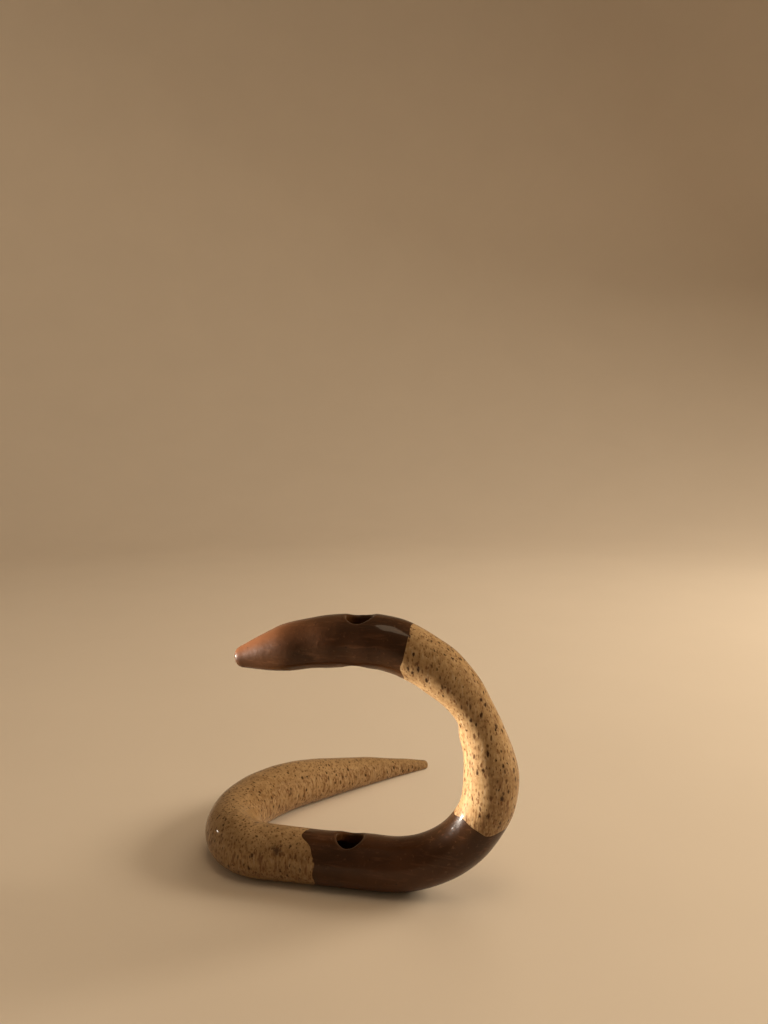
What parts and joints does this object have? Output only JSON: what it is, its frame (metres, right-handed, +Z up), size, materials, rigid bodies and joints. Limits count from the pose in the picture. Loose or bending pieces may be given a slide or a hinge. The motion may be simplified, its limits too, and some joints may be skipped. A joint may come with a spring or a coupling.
{
  "type": "bud vase",
  "caption": "Hollow coiled ceramic bud vase in brown and speckled clay, with a stem hole through its raised head above a well in its base and a tail that turns back on the table.",
  "frame": {"origin": "on the table plane under the stem well, on the middle line of the base", "axes": "+Z up; +X along the base from the well towards the arch; +Y to the side that the tail turns to"},
  "size_m": [0.1496, 0.1395, 0.1221],
  "materials": {
    "brown_clay": "gloss",
    "speckled_clay": "gloss",
    "joint_slip": "gloss"
  },
  "bodies": {
    "root": {"head_section": "brown_clay", "arch_section": "speckled_clay", "base_section": "brown_clay", "tail_section": "speckled_clay", "head_joint_slip": "joint_slip", "base_joint_slip": "joint_slip", "tail_joint_slip": "joint_slip"}
  },
  "joints": []
}
